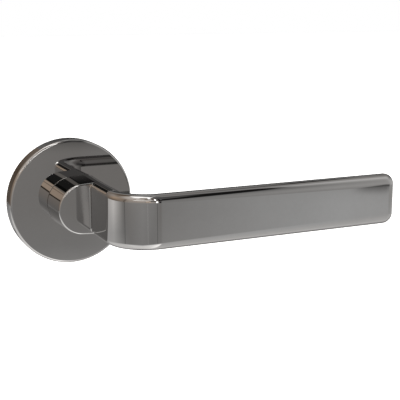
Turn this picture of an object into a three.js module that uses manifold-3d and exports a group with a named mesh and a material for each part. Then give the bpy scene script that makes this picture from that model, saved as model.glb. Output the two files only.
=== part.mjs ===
// Door lever handle on a round sprung rose, for one side of a door.
// The lever turns about the Y axis. The door's face is the plane y = 0 and the room is towards -Y.
// The blade points towards +X and +Z is up. Sizes are in millimetres.
import * as THREE from 'three';
import { mergeVertices } from 'three/addons/utils/BufferGeometryUtils.js';
import Module from 'manifold-3d';

const wasm = await Module();
wasm.setup();

// ---------------------------------------------------------------- driving dimensions

const GAP = 0.3; // clearance between neighbouring pieces
const BACK = 0; // the door's face

const ROSE_RADIUS = 26;
const ROSE_FRONT = -7;
const COVER_WALL = 1.2;
const COVER_FACE = 1;
const COVER_EDGE = 1; // rounding of the rose's rim

const NECK_RADIUS = 10.3;
const NECK_LENGTH = 16; // clear of the rose
const NECK_RIM = 0.6; // rounding of the neck's end
const LEVER_HEIGHT = 21.3;
const LEVER_THICKNESS = 7.5;
const LEVER_FRONT = -57.8;
const BLADE_END = 125.6;
const BEND_RADIUS = 16.8; // outside of the bend
const FILLET = 2.3; // long edges of the bar and blade
const BLADE_CORNER = 4.4; // blade's end, seen from the front
const BLADE_END_ROUND = 2.4; // blade's end, seen from above

const JOURNAL_RADIUS = 8;
const JOURNAL_BACK = 3.8;
const FLAT_DISTANCE = 6.6; // from the axis to the journal's two drive flats
const SPINDLE_SIDE = 8;
const SPINDLE_FRONT = -18;
const SPINDLE_BACK = 55;
const SPINDLE_CHAMFER = 0.6;
const GRUB_Y = -14;
const GRUB_RADIUS = 2.5;

const BASE_RADIUS = 24.4;
const HUB_RADIUS = 10.9;
const POCKET_RADIUS = 14.4; // the spring's pocket in the base
const POCKET_FRONT = -4.9;
const PLATE_RECESS = 17.5; // the cage plate's seat in the base
const FIXING_RADIUS = 19; // all four fixings stand on this circle, 38 mm apart across it
const SLEEVE_RADIUS = 3;
const SLEEVE_HEAD = 4.2;
const SLEEVE_BACK = 15;
const SLEEVE_BORE = 1.7;
const WOOD_SCREW_RADIUS = 1.75;
const WOOD_SCREW_HEAD = 3.4;
const WOOD_SCREW_BACK = 14;
const SNAP_FRONT = -3;
const SNAP_BACK = -2;

const TURN = 45; // degrees from rest to the lever's lower stop
const TAB_REST = 68.3; // degrees from +X towards +Z, of the drive plate's tab at rest
const TAB_WIDTH = 10; // degrees
const TAB_INNER = 15.2;
const TAB_OUTER = 16.1;
const SLOT_OUTER = 16.6;
const TAB_FRONT = -3.6;
const DRIVE_FRONT = -2;
const DRIVE_BACK = -1.1;
const CAGE_FRONT = -0.8;
const CAGE_SCREW_RING = 15.9;
const CAGE_SCREW_HEAD = 1.4;

const SPRING_RADIUS = 12.6; // middle of the coil's strip
const SPRING_WIDTH = 2;
const SPRING_STRIP = 0.7;
const SPRING_FRONT = -4.1;
const SPRING_REAR = -2.7;
const SPRING_FIXED_END = 200; // degrees
const SPRING_FREE_END = 60.3; // degrees
const SPRING_LEG_OUTER = 16.3;
const SPRING_LEG_WIDTH = 0.9;

const degrees = THREE.MathUtils.degToRad;

// ---------------------------------------------------------------- solids and booleans

function solidOf(geometry) {
  const plain = geometry.clone();
  plain.deleteAttribute('normal');
  plain.deleteAttribute('uv');
  const merged = mergeVertices(plain, 1e-4);
  const corners = merged.index.array;
  const kept = [];
  for (let i = 0; i < corners.length; i += 3) {
    const [a, b, c] = [corners[i], corners[i + 1], corners[i + 2]];
    if (a !== b && b !== c && c !== a) kept.push(a, b, c);
  }
  return new wasm.Manifold(new wasm.Mesh({
    numProp: 3,
    vertProperties: new Float32Array(merged.attributes.position.array),
    triVerts: new Uint32Array(kept),
  }));
}

function geometryOf(solid) {
  const mesh = solid.getMesh();
  const geometry = new THREE.BufferGeometry();
  geometry.setAttribute('position', new THREE.BufferAttribute(mesh.vertProperties, 3));
  geometry.setIndex(new THREE.BufferAttribute(mesh.triVerts, 1));
  geometry.computeVertexNormals();
  return geometry;
}

// A closed outline of [radius, y] corners turned about the Y axis.
function turned(outline, segments = 40) {
  const points = outline.map(([radius, y]) => new THREE.Vector2(radius, y));
  points.push(points[0].clone());
  return solidOf(new THREE.LatheGeometry(points, segments));
}

function tube(inner, outer, front, back, segments) {
  return turned([[inner, front], [outer, front], [outer, back], [inner, back]], segments);
}

function rod(radius, front, back, segments = 20) {
  return tube(0, radius, front, back, segments);
}

// Corners on a quarter round between two directions, in degrees.
function arc(centreRadius, centreY, radius, from, to, steps = 4) {
  const corners = [];
  for (let i = 0; i <= steps; i += 1) {
    const angle = degrees(from + ((to - from) * i) / steps);
    corners.push([centreRadius + radius * Math.cos(angle), centreY + radius * Math.sin(angle)]);
  }
  return corners;
}

// A shape drawn in X and Z, standing from front to back along Y.
function prism(shape, front, back, curveSegments = 8) {
  const depth = back - front;
  const geometry = new THREE.ExtrudeGeometry(shape, { depth, bevelEnabled: false, curveSegments });
  geometry.rotateX(Math.PI / 2);
  geometry.translate(0, back, 0);
  return solidOf(geometry);
}

function block(width, front, back, height, x = 0, z = 0) {
  const geometry = new THREE.BoxGeometry(width, back - front, height);
  geometry.translate(x, (front + back) / 2, z);
  return solidOf(geometry);
}

// Part of a ring between two radii and two directions.
function sector(inner, outer, from, to) {
  const shape = new THREE.Shape();
  shape.absarc(0, 0, outer, degrees(from), degrees(to), false);
  shape.absarc(0, 0, inner, degrees(to), degrees(from), true);
  shape.closePath();
  return shape;
}

// A regular polygon given by its width across flats, for hexagon sockets.
function hexagon(acrossFlats) {
  const shape = new THREE.Shape();
  const radius = acrossFlats / Math.sqrt(3);
  for (let i = 0; i < 6; i += 1) {
    const angle = degrees(60 * i);
    shape.lineTo(radius * Math.cos(angle), radius * Math.sin(angle));
  }
  shape.closePath();
  return shape;
}

// Moves a solid from the turning axis out to a radius in a direction given in degrees.
function placed(solid, radius, direction) {
  const angle = degrees(direction);
  return solid.translate([radius * Math.cos(angle), 0, radius * Math.sin(angle)]);
}

// Turns a solid about the Y axis, from +X towards +Z.
function spun(solid, direction) {
  return solid.rotate([0, -direction, 0]);
}

// ---------------------------------------------------------------- materials

const finishes = {
  darkNickel: { color: 0x8f8c88, roughness: 0.06, metalness: 1 },
  zincCasting: { color: 0x9a9b9c, roughness: 0.5, metalness: 1 },
  zincPlate: { color: 0xb9bcc0, roughness: 0.35, metalness: 1 },
  springSteel: { color: 0x6f6f72, roughness: 0.4, metalness: 1 },
  yellowZinc: { color: 0xb59a5a, roughness: 0.4, metalness: 1 },
  blackOxide: { color: 0x2c2c2e, roughness: 0.45, metalness: 0.8 },
  nylon: { color: 0xe9e7e0, roughness: 0.6, metalness: 0 },
};

const group = new THREE.Group();

function add(name, solid, finish) {
  const mesh = new THREE.Mesh(geometryOf(solid), new THREE.MeshStandardMaterial(finishes[finish]));
  mesh.name = name;
  group.add(mesh);
  return mesh;
}

// ---------------------------------------------------------------- the turning lever

const neckEnd = ROSE_FRONT - NECK_LENGTH;
const shoulder = ROSE_FRONT + COVER_FACE;
const socketSide = SPINDLE_SIDE + 2 * GAP;
const grooveFront = 1.1;
const grooveBack = 2.7;
const grooveRadius = 7;

// The bar and blade from above: a straight bar along the neck's right side, a bend and the long blade.
// The bar starts just in front of the rose, so the neck's right side is as flat as the blade.
function leverPlan() {
  const left = NECK_RADIUS - LEVER_THICKNESS;
  const root = shoulder;
  const bendX = left + BEND_RADIUS;
  const bendY = LEVER_FRONT + BEND_RADIUS;
  const bladeBack = LEVER_FRONT + LEVER_THICKNESS;
  const endX = BLADE_END - BLADE_END_ROUND;
  const quarter = Math.PI / 2;
  const shape = new THREE.Shape();
  shape.moveTo(left, root);
  shape.lineTo(left, bendY);
  shape.absarc(bendX, bendY, BEND_RADIUS, 2 * quarter, 3 * quarter, false);
  shape.absarc(endX, LEVER_FRONT + BLADE_END_ROUND, BLADE_END_ROUND, -quarter, 0, false);
  shape.absarc(endX, bladeBack - BLADE_END_ROUND, BLADE_END_ROUND, 0, quarter, false);
  shape.absarc(bendX, bendY, BEND_RADIUS - LEVER_THICKNESS, 3 * quarter, 2 * quarter, true);
  shape.lineTo(NECK_RADIUS, root);
  shape.closePath();
  return shape;
}

function barAndBlade() {
  const geometry = new THREE.ExtrudeGeometry(leverPlan(), {
    depth: LEVER_HEIGHT - 2 * FILLET,
    bevelThickness: FILLET,
    bevelSize: FILLET,
    bevelOffset: -FILLET,
    bevelSegments: 4,
    curveSegments: 8,
  });
  geometry.translate(0, 0, FILLET - LEVER_HEIGHT / 2);

  const half = LEVER_HEIGHT / 2;
  const cornerX = BLADE_END - BLADE_CORNER;
  const cornerZ = half - BLADE_CORNER;
  const face = new THREE.Shape();
  face.moveTo(0, half);
  face.lineTo(0, -half);
  face.absarc(cornerX, -cornerZ, BLADE_CORNER, -Math.PI / 2, 0, false);
  face.absarc(cornerX, cornerZ, BLADE_CORNER, 0, Math.PI / 2, false);
  face.closePath();
  return solidOf(geometry).intersect(prism(face, LEVER_FRONT - 1, ROSE_FRONT - GAP, 8));
}

function neckAndJournal() {
  return turned([
    [0, neckEnd],
    ...arc(NECK_RADIUS - NECK_RIM, neckEnd + NECK_RIM, NECK_RIM, -90, 0, 3),
    [NECK_RADIUS, shoulder],
    [JOURNAL_RADIUS, shoulder],
    [JOURNAL_RADIUS, grooveFront],
    [grooveRadius, grooveFront],
    [grooveRadius, grooveBack],
    [JOURNAL_RADIUS, grooveBack],
    [JOURNAL_RADIUS, JOURNAL_BACK - 0.4],
    [JOURNAL_RADIUS - 0.4, JOURNAL_BACK],
    [0, JOURNAL_BACK],
  ], 48);
}

const flatFront = DRIVE_FRONT - GAP;
const flatDepth = JOURNAL_RADIUS - FLAT_DISTANCE + 1;
const flatCentre = FLAT_DISTANCE + flatDepth / 2;
const grubHoleTop = -SPINDLE_SIDE / 2;
const grubHole = rod(GRUB_RADIUS + GAP, grubHoleTop - 8, grubHoleTop).rotate([90, 0, 0]);

const leverHandle = barAndBlade()
  .add(neckAndJournal())
  .subtract(block(socketSide, SPINDLE_FRONT - GAP, JOURNAL_BACK + 1, socketSide))
  .subtract(block(flatDepth, flatFront, JOURNAL_BACK + 1, 20, flatCentre))
  .subtract(block(flatDepth, flatFront, JOURNAL_BACK + 1, 20, -flatCentre))
  .subtract(grubHole.translate([0, GRUB_Y, 0]));
add('lever_handle', leverHandle, 'darkNickel');

// The square spindle, chamfered at both ends. Its flats are divided so that those behind the door's
// face stand apart from those inside the socket.
function squareSpindle() {
  const half = SPINDLE_SIDE / 2;
  const square = new THREE.Shape();
  square.moveTo(-half, -half);
  square.lineTo(half, -half);
  square.lineTo(half, half);
  square.lineTo(-half, half);
  square.closePath();
  const geometry = new THREE.ExtrudeGeometry(square, {
    depth: SPINDLE_BACK - SPINDLE_FRONT - 2 * SPINDLE_CHAMFER,
    steps: 4,
    bevelThickness: SPINDLE_CHAMFER,
    bevelSize: SPINDLE_CHAMFER,
    bevelOffset: -SPINDLE_CHAMFER,
    bevelSegments: 1,
  });
  geometry.rotateX(Math.PI / 2);
  geometry.translate(0, SPINDLE_BACK - SPINDLE_CHAMFER, 0);
  return solidOf(geometry);
}
add('spindle', squareSpindle(), 'zincPlate');

// The grub screw enters the neck from below and bears on the spindle's lower flat.
const grubTip = grubHoleTop - GAP;
const grubHead = grubTip - 5;
const grubScrew = turned([
  [0, grubHead],
  [GRUB_RADIUS - 0.3, grubHead],
  [GRUB_RADIUS, grubHead + 0.3],
  [GRUB_RADIUS, grubTip - 1],
  [GRUB_RADIUS - 1, grubTip],
  [0, grubTip],
], 16)
  .subtract(prism(hexagon(2.5), grubHead - 1, grubHead + 2))
  .rotate([90, 0, 0])
  .translate([0, GRUB_Y, 0]);
add('grub_screw', grubScrew, 'blackOxide');

// The drive plate is keyed to the journal's flats. Its bent tab winds the spring.
const tabFrom = TAB_REST - TAB_WIDTH / 2;
const tabTo = TAB_REST + TAB_WIDTH / 2;
const keyhole = rod(JOURNAL_RADIUS + GAP, DRIVE_FRONT - 1, DRIVE_BACK + 1, 48)
  .intersect(block(2 * (FLAT_DISTANCE + GAP), DRIVE_FRONT - 2, DRIVE_BACK + 2, 20));
const drivePlate = rod(POCKET_RADIUS - 0.4, DRIVE_FRONT, DRIVE_BACK, 48)
  .add(prism(sector(10, TAB_OUTER, tabFrom, tabTo), DRIVE_FRONT, DRIVE_BACK, 4))
  .add(prism(sector(TAB_INNER, TAB_OUTER, tabFrom, tabTo), TAB_FRONT, DRIVE_BACK, 4))
  .subtract(keyhole);
add('drive_plate', drivePlate, 'zincPlate');

// Three shallow waves take up the play between the cage plate and the retaining ring.
const waveThickness = 0.3;
const waveHeight = 0.15;
function waveWasher() {
  const middle = BACK + GAP + waveHeight;
  const front = middle;
  const back = middle + waveThickness;
  const outline = [[8.4, front], [11.2, front], [11.2, back], [8.4, back], [8.4, front]];
  const points = outline.map(([radius, y]) => new THREE.Vector2(radius, y));
  const geometry = new THREE.LatheGeometry(points, 30);
  const position = geometry.attributes.position;
  for (let i = 0; i < position.count; i += 1) {
    const direction = Math.atan2(position.getZ(i), position.getX(i));
    position.setY(i, position.getY(i) + waveHeight * Math.cos(3 * direction));
  }
  return solidOf(geometry);
}
add('wave_washer', waveWasher(), 'springSteel');

// An external circlip with two eyes, open at the top.
function retainingRing() {
  const mouth = 16; // half of the opening, in degrees
  const ears = [90 - mouth - 5, 90 + mouth + 5];
  const front = grooveFront + GAP;
  const back = grooveBack - GAP;
  const around = sector(grooveRadius + GAP, 10, 90 + mouth, 450 - mouth);
  let ring = prism(around, front, back, 18);
  for (const ear of ears) {
    ring = ring.add(placed(rod(1.9, front, back, 12), 10.4, ear));
  }
  for (const ear of ears) {
    ring = ring.subtract(placed(rod(0.9, front - 1, back + 1, 8), 10.5, ear));
  }
  return ring;
}
add('retaining_ring', retainingRing(), 'springSteel');

// ---------------------------------------------------------------- the fixed rose

const coverInner = ROSE_RADIUS - COVER_WALL;
const snapFront = SNAP_FRONT - GAP;
const snapBack = SNAP_BACK + GAP;
const neckHole = NECK_RADIUS + GAP;

const roseCover = turned([
  [neckHole + 0.25, ROSE_FRONT],
  ...arc(ROSE_RADIUS - COVER_EDGE, ROSE_FRONT + COVER_EDGE, COVER_EDGE, -90, 0, 3),
  [ROSE_RADIUS, BACK],
  [coverInner, BACK],
  [coverInner, snapBack],
  [coverInner + 0.45, snapBack],
  [coverInner + 0.45, snapFront],
  [coverInner, snapFront],
  [coverInner, ROSE_FRONT + COVER_FACE],
  [neckHole, ROSE_FRONT + COVER_FACE],
  [neckHole, ROSE_FRONT + 0.25],
], 56).subtract(block(5, -1.3, BACK + 1, 6, 0, -ROSE_RADIUS));
add('rose_cover', roseCover, 'darkNickel');

const baseFront = ROSE_FRONT + COVER_FACE + GAP;
const bushOuter = 9.4;
const bushInner = JOURNAL_RADIUS + GAP;
const baseBore = bushOuter + GAP;
const sleeveDirections = { upper: 90, lower: 270 };
const woodScrewDirections = { right: 0, left: 180 };
const cageScrewDirections = [135, 225, 315];
const slotFrom = TAB_REST - TURN - TAB_WIDTH / 2 - 6;
const slotTo = tabTo + 0.9;

// The base: a cast ring with the spring's pocket behind it and a hub that carries the bush.
function roseBase() {
  let base = turned([
    [baseBore, baseFront],
    [BASE_RADIUS - 0.5, baseFront],
    [BASE_RADIUS, baseFront + 0.5],
    [BASE_RADIUS, snapFront],
    [BASE_RADIUS - 0.9, snapFront],
    [BASE_RADIUS - 0.9, snapBack],
    [BASE_RADIUS, snapBack],
    [BASE_RADIUS, BACK],
    [POCKET_RADIUS, BACK],
    [POCKET_RADIUS, POCKET_FRONT],
    [HUB_RADIUS, POCKET_FRONT],
    [HUB_RADIUS, DRIVE_FRONT - GAP],
    [baseBore, DRIVE_FRONT - GAP],
  ], 40);
  let seat = rod(PLATE_RECESS, CAGE_FRONT - GAP, BACK + 1, 40);
  for (const direction of Object.values(sleeveDirections)) {
    const hole = rod(SLEEVE_RADIUS + GAP, baseFront - 1, BACK + 2);
    const headSeat = rod(SLEEVE_HEAD + GAP, baseFront - 1, baseFront + 1.1);
    seat = seat.subtract(placed(rod(SLEEVE_RADIUS + 0.9, -4, BACK + 2), FIXING_RADIUS, direction));
    base = base.subtract(placed(hole.add(headSeat), FIXING_RADIUS, direction));
  }
  for (const direction of Object.values(woodScrewDirections)) {
    const bottom = baseFront + 2;
    const funnel = turned([
      [0, baseFront - 1],
      [WOOD_SCREW_HEAD + 0.5, baseFront - 1],
      [WOOD_SCREW_HEAD + 0.5, baseFront],
      [WOOD_SCREW_RADIUS + 0.4, bottom],
      [WOOD_SCREW_RADIUS + 0.4, BACK + 2],
      [0, BACK + 2],
    ], 16);
    seat = seat.subtract(placed(rod(WOOD_SCREW_RADIUS + 1.2, -4, BACK + 2), FIXING_RADIUS, direction));
    base = base.subtract(placed(funnel, FIXING_RADIUS, direction));
  }
  for (const direction of cageScrewDirections) {
    base = base.subtract(placed(rod(1.1, -4.2, BACK, 12), CAGE_SCREW_RING, direction));
  }
  const tabSlot = prism(sector(13.5, SLOT_OUTER, slotFrom, slotTo), TAB_FRONT - GAP, BACK + 1, 8);
  const legSlot = block(6, POCKET_FRONT, BACK + 1, SPRING_LEG_WIDTH + 2 * GAP);
  base = base.subtract(seat).subtract(tabSlot);
  base = base.subtract(spun(legSlot.translate([SPRING_LEG_OUTER + GAP - 3, 0, 0]), SPRING_FIXED_END));
  for (const from of [20, 108, 200, 288]) {
    base = base.subtract(prism(sector(18.7, 22.7, from, from + 52), -4.2, BACK + 1, 6));
  }
  return base;
}
add('rose_base', roseBase(), 'zincCasting');

// A split wire ring that holds the cover on the base, open beside the lower sleeve.
const snapShape = sector(BASE_RADIUS - 0.9 + GAP, coverInner + 0.15, 258, 258 + 346);
add('cover_snap_ring', prism(snapShape, SNAP_FRONT, SNAP_BACK, 28), 'springSteel');

add('neck_bush', tube(bushInner, bushOuter, POCKET_FRONT, DRIVE_FRONT - 2 * GAP, 32), 'nylon');
add('thrust_washer', tube(bushInner, bushOuter, baseFront, baseFront + 0.5, 32), 'nylon');

// The return spring: flat strip in an open coil, with a leg at each end that points outwards.
function returnSpring() {
  const turnAngle = degrees(SPRING_FREE_END - SPRING_FIXED_END - 360);
  const steps = 36;
  const strip = new THREE.BoxGeometry(1, SPRING_STRIP, SPRING_WIDTH, steps, 1, 1);
  const position = strip.attributes.position;
  for (let i = 0; i < position.count; i += 1) {
    const share = position.getX(i) + 0.5;
    const angle = degrees(SPRING_FIXED_END) + turnAngle * share;
    const radius = SPRING_RADIUS + position.getZ(i);
    const y = THREE.MathUtils.lerp(SPRING_FRONT, SPRING_REAR, share) + position.getY(i);
    position.setXYZ(i, radius * Math.cos(angle), y, radius * Math.sin(angle));
  }
  const legStart = SPRING_RADIUS - SPRING_WIDTH / 4;
  const legLength = SPRING_LEG_OUTER - legStart;
  const legCentre = legStart + legLength / 2;
  function leg(y, direction) {
    const half = SPRING_STRIP / 2;
    return spun(block(legLength, y - half, y + half, SPRING_LEG_WIDTH, legCentre), direction);
  }
  return solidOf(strip)
    .add(leg(SPRING_FRONT, SPRING_FIXED_END))
    .add(leg(SPRING_REAR, SPRING_FREE_END));
}
add('return_spring', returnSpring(), 'springSteel');

// The cage plate closes the spring's pocket and carries the thrust of the retaining ring.
function cagePlate() {
  let plate = tube(JOURNAL_RADIUS + 0.5, PLATE_RECESS - GAP, CAGE_FRONT, BACK, 40);
  for (const direction of Object.values(sleeveDirections)) {
    const scallop = rod(SLEEVE_RADIUS + 0.9 + GAP, CAGE_FRONT - 1, BACK + 1);
    plate = plate.subtract(placed(scallop, FIXING_RADIUS, direction));
  }
  for (const direction of Object.values(woodScrewDirections)) {
    const scallop = rod(WOOD_SCREW_RADIUS + 1.2 + GAP, CAGE_FRONT - 1, BACK + 1);
    plate = plate.subtract(placed(scallop, FIXING_RADIUS, direction));
  }
  for (const direction of cageScrewDirections) {
    const hole = turned([
      [0, CAGE_FRONT - 0.5],
      [1.1, CAGE_FRONT - 0.5],
      [1.1, CAGE_FRONT + 0.1],
      [CAGE_SCREW_HEAD + 0.4, BACK],
      [CAGE_SCREW_HEAD + 0.4, BACK + 1],
      [0, BACK + 1],
    ], 12);
    plate = plate.subtract(placed(hole, CAGE_SCREW_RING, direction));
  }
  return plate;
}
add('cage_plate', cagePlate(), 'zincPlate');

// Three small countersunk screws hold the cage plate.
const cageScrew = turned([
  [0, -3.8],
  [0.5, -3.8],
  [0.8, -3.4],
  [0.8, CAGE_FRONT],
  [CAGE_SCREW_HEAD, -0.1],
  [0, -0.1],
], 12)
  .subtract(block(2.2, -0.5, BACK + 1, 0.4))
  .subtract(block(0.4, -0.5, BACK + 1, 2.2));
cageScrewDirections.forEach((direction, index) => {
  add(`cage_screw_${index + 1}`, placed(cageScrew, CAGE_SCREW_RING, direction), 'zincPlate');
});

// The flanged sleeves pass through the door and take the through-bolts from its other side.
const sleeveFront = baseFront + 0.1;
const boltSleeve = turned([
  [0, sleeveFront],
  [SLEEVE_HEAD - 0.2, sleeveFront],
  [SLEEVE_HEAD, sleeveFront + 0.2],
  [SLEEVE_HEAD, sleeveFront + 0.7],
  [SLEEVE_RADIUS, sleeveFront + 0.7],
  [SLEEVE_RADIUS, SLEEVE_BACK - 0.4],
  [SLEEVE_RADIUS - 0.4, SLEEVE_BACK],
  [SLEEVE_BORE, SLEEVE_BACK],
  [SLEEVE_BORE, sleeveFront + 2.4],
  [0, sleeveFront + 2.4],
], 20).subtract(prism(hexagon(3), sleeveFront - 1, sleeveFront + 1.6));
for (const [place, direction] of Object.entries(sleeveDirections)) {
  add(`bolt_sleeve_${place}`, placed(boltSleeve, FIXING_RADIUS, direction), 'zincPlate');
}

// The countersunk wood screws hold the base on the door.
function woodScrew() {
  const head = baseFront + 0.1;
  const neck = head + 1.9;
  const pitch = 1.6;
  const root = WOOD_SCREW_RADIUS - 0.55;
  const tip = WOOD_SCREW_BACK;
  const outline = [[0, head], [WOOD_SCREW_HEAD, head], [WOOD_SCREW_HEAD, head + 0.2], [root, neck]];
  for (let y = neck + pitch; y < tip - 3; y += pitch) {
    outline.push([root, y - pitch / 2], [WOOD_SCREW_RADIUS, y - pitch / 4], [root, y]);
  }
  outline.push([root, tip - 2.5], [0, tip]);
  return turned(outline, 12)
    .subtract(block(3.8, head - 1, head + 1.4, 0.8))
    .subtract(block(0.8, head - 1, head + 1.4, 3.8));
}
for (const [place, direction] of Object.entries(woodScrewDirections)) {
  add(`wood_screw_${place}`, placed(woodScrew(), FIXING_RADIUS, direction), 'yellowZinc');
}

export default group;
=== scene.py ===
"""Looks for the door lever handle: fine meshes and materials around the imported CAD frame.

The turning axis is the Y axis, the door's face is y = 0, the room is towards -Y and +Z is up.
Mesh code works in millimetres and to_object() scales it to metres.
"""
import math

import bmesh
import bpy
from mathutils import Matrix, Vector


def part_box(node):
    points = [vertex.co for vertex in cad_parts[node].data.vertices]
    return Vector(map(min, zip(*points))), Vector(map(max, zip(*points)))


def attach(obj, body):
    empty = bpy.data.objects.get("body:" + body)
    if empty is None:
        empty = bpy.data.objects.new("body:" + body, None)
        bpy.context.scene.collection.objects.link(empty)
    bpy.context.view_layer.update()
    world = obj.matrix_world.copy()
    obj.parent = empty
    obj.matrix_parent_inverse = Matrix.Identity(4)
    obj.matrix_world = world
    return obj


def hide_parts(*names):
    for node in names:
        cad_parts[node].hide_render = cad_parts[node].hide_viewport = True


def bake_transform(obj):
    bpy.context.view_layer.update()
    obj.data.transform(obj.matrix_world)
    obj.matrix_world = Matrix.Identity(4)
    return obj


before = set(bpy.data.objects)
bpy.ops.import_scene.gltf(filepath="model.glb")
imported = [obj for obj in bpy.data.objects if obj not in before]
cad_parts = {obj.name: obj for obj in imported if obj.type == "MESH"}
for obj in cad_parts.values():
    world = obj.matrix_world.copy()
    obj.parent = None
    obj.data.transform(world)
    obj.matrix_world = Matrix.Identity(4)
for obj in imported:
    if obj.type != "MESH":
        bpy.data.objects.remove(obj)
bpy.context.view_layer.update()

MM = 0.001
TAU = 2 * math.pi


# ---------------------------------------------------------------- sizes, from the frame where it has them

def cad(node):
    """Lowest and highest corner of a CAD node, in millimetres."""
    low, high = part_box(node)
    return low / MM, high / MM


lever_low, lever_high = cad("lever_handle")
cover_low, cover_high = cad("rose_cover")
base_low, base_high = cad("rose_base")

NECK_RADIUS = -lever_low.x
HALF_HEIGHT = lever_high.z
LEVER_FRONT = lever_low.y
BLADE_END = lever_high.x
JOURNAL_BACK = lever_high.y
ROSE_RADIUS = cover_high.x
ROSE_FRONT = cover_low.y

NECK_LENGTH = 16
NECK_END = ROSE_FRONT - NECK_LENGTH
NECK_RIM = 0.6  # rounding round the neck's end
NECK_GAP = 0.12  # between the neck's foot and the rose
NECK_FOOT = 0.35  # hollow fillet round the neck's foot
THICKNESS = 7.5
BEND = 16.8
OUTER_EDGE = 2.3  # rounding along the outer face's edges, at the neck
OUTER_EDGE_END = (4.9, 3.0)  # the same at the blade's end: across the face, and in depth
END_SHARE = 0.72  # how far the rounding reaches in from the blade's end, against its long edges
INNER_EDGE = 4.0  # rounding along the inner face's edges
BLADE_CORNER = 4.4
SHARPEST = 0.25  # least radius of a corner inside the rounding
CREASE = 0.55  # hollow fillet between the neck's end and the bar's left wall
BAR_LEFT = NECK_RADIUS - THICKNESS
BAR_ROOT = ROSE_FRONT - NECK_GAP
SHOULDER = ROSE_FRONT + 1
JOURNAL_RADIUS = 8.0
JOURNAL_PLAY = 0.3  # between the journal and what it turns in
GROOVE_RADIUS = 7.0
GROOVE_FRONT, GROOVE_BACK = 1.1, 2.7
FLAT_DISTANCE = 6.6  # from the axis to the journal's two flats
FLAT_FRONT = -2.3
SPINDLE_HALF = 4.0
SOCKET_GAP = 0.1
SOCKET_FRONT = -18.2
GRUB_Y = -14.0
GRUB_HOLE = 2.6
CLIP_FRONT, CLIP_BACK = -3.3, -1.7  # the snap ring's grooves in the cover and the base


# ---------------------------------------------------------------- mesh helpers

def to_object(name, bm, sharp=32):
    """A finished bmesh in millimetres becomes an object in metres, smooth except at sharp angles."""
    bmesh.ops.recalc_face_normals(bm, faces=bm.faces)
    bmesh.ops.scale(bm, vec=(MM, MM, MM), verts=bm.verts)
    mesh = bpy.data.meshes.new(name)
    bm.to_mesh(mesh)
    bm.free()
    return object_of(name, mesh, sharp)


def object_of(name, mesh, sharp=32):
    for polygon in mesh.polygons:
        polygon.use_smooth = True
    mesh.set_sharp_from_angle(angle=math.radians(sharp))
    piece = bpy.data.objects.new(name, mesh)
    bpy.context.scene.collection.objects.link(piece)
    return piece


def turned(outline, segments=192, closed=False):
    """An outline of (radius, y) points turned about the Y axis; an open one starts and ends on the axis."""
    bm = bmesh.new()
    rings = []
    for radius, y in outline:
        if radius < 1e-6:
            rings.append([bm.verts.new((0, y, 0))])
            continue
        ring = []
        for i in range(segments):
            angle = TAU * i / segments
            ring.append(bm.verts.new((radius * math.cos(angle), y, radius * math.sin(angle))))
        rings.append(ring)
    pairs = list(zip(rings, rings[1:]))
    if closed:
        pairs.append((rings[-1], rings[0]))
    for a, b in pairs:
        for i in range(segments):
            j = (i + 1) % segments
            if len(a) == 1:
                bm.faces.new((a[0], b[i], b[j]))
            elif len(b) == 1:
                bm.faces.new((a[i], b[0], a[j]))
            else:
                bm.faces.new((a[i], b[i], b[j], a[j]))
    return bm


def arc(centre, radius, start, end, steps):
    """Points on an arc, angles in degrees."""
    points = []
    for i in range(steps + 1):
        angle = math.radians(start + (end - start) * i / steps)
        points.append((centre[0] + radius * math.cos(angle), centre[1] + radius * math.sin(angle)))
    return points


def box_mesh(low, high):
    bm = bmesh.new()
    bmesh.ops.create_cube(bm, size=1)
    low, high = Vector(low), Vector(high)
    size = high - low
    bmesh.ops.scale(bm, vec=size, verts=bm.verts)
    bmesh.ops.translate(bm, vec=(low + high) / 2, verts=bm.verts)
    return bm


def rod(radius, front, back, segments=48):
    return turned([(0, front), (radius, front), (radius, back), (0, back)], segments)


def tube(inner, outer, front, back, chamfer=0.1, segments=128):
    """A plain ring with broken edges."""
    c = chamfer
    outline = [(inner + c, front), (outer - c, front), (outer, front + c), (outer, back - c)]
    outline += [(outer - c, back), (inner + c, back), (inner, back - c), (inner, front + c)]
    return turned(outline, segments, closed=True)


def prism(outline, front, back):
    """An (x, z) outline between two depths."""
    bm = bmesh.new()
    near = [bm.verts.new((x, front, z)) for x, z in outline]
    far = [bm.verts.new((x, back, z)) for x, z in outline]
    bm.faces.new(near)
    bm.faces.new(far[::-1])
    for i in range(len(near)):
        j = (i + 1) % len(near)
        bm.faces.new((near[i], far[i], far[j], near[j]))
    return bm


def skin(bm, loops):
    """Faces between successive closed loops of vertices, and one face over each end."""
    for a, b in zip(loops, loops[1:]):
        for i in range(len(a)):
            j = (i + 1) % len(a)
            bm.faces.new((a[i], a[j], b[j], b[i]))
    bm.faces.new(loops[0])
    bm.faces.new(loops[-1])
    return bm


def sector(inner, outer, start, end):
    """The outline of a piece of a ring, angles in degrees from +X towards +Z."""
    steps = max(4, round((end - start) / 3))
    return arc((0, 0), outer, start, end, steps) + arc((0, 0), inner, end, start, steps)


def hexagon(across_flats):
    return arc((0, 0), across_flats / math.sqrt(3), 0, 300, 5)


def spun(bm, direction):
    """Turned about the Y axis, in degrees from +X towards +Z."""
    turn = Matrix.Rotation(math.radians(-direction), 3, "Y")
    bmesh.ops.rotate(bm, cent=(0, 0, 0), matrix=turn, verts=bm.verts)
    return bm


def placed(bm, radius, direction):
    """Moved out from the axis, without turning."""
    angle = math.radians(direction)
    offset = (radius * math.cos(angle), 0, radius * math.sin(angle))
    bmesh.ops.translate(bm, vec=offset, verts=bm.verts)
    return bm


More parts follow.
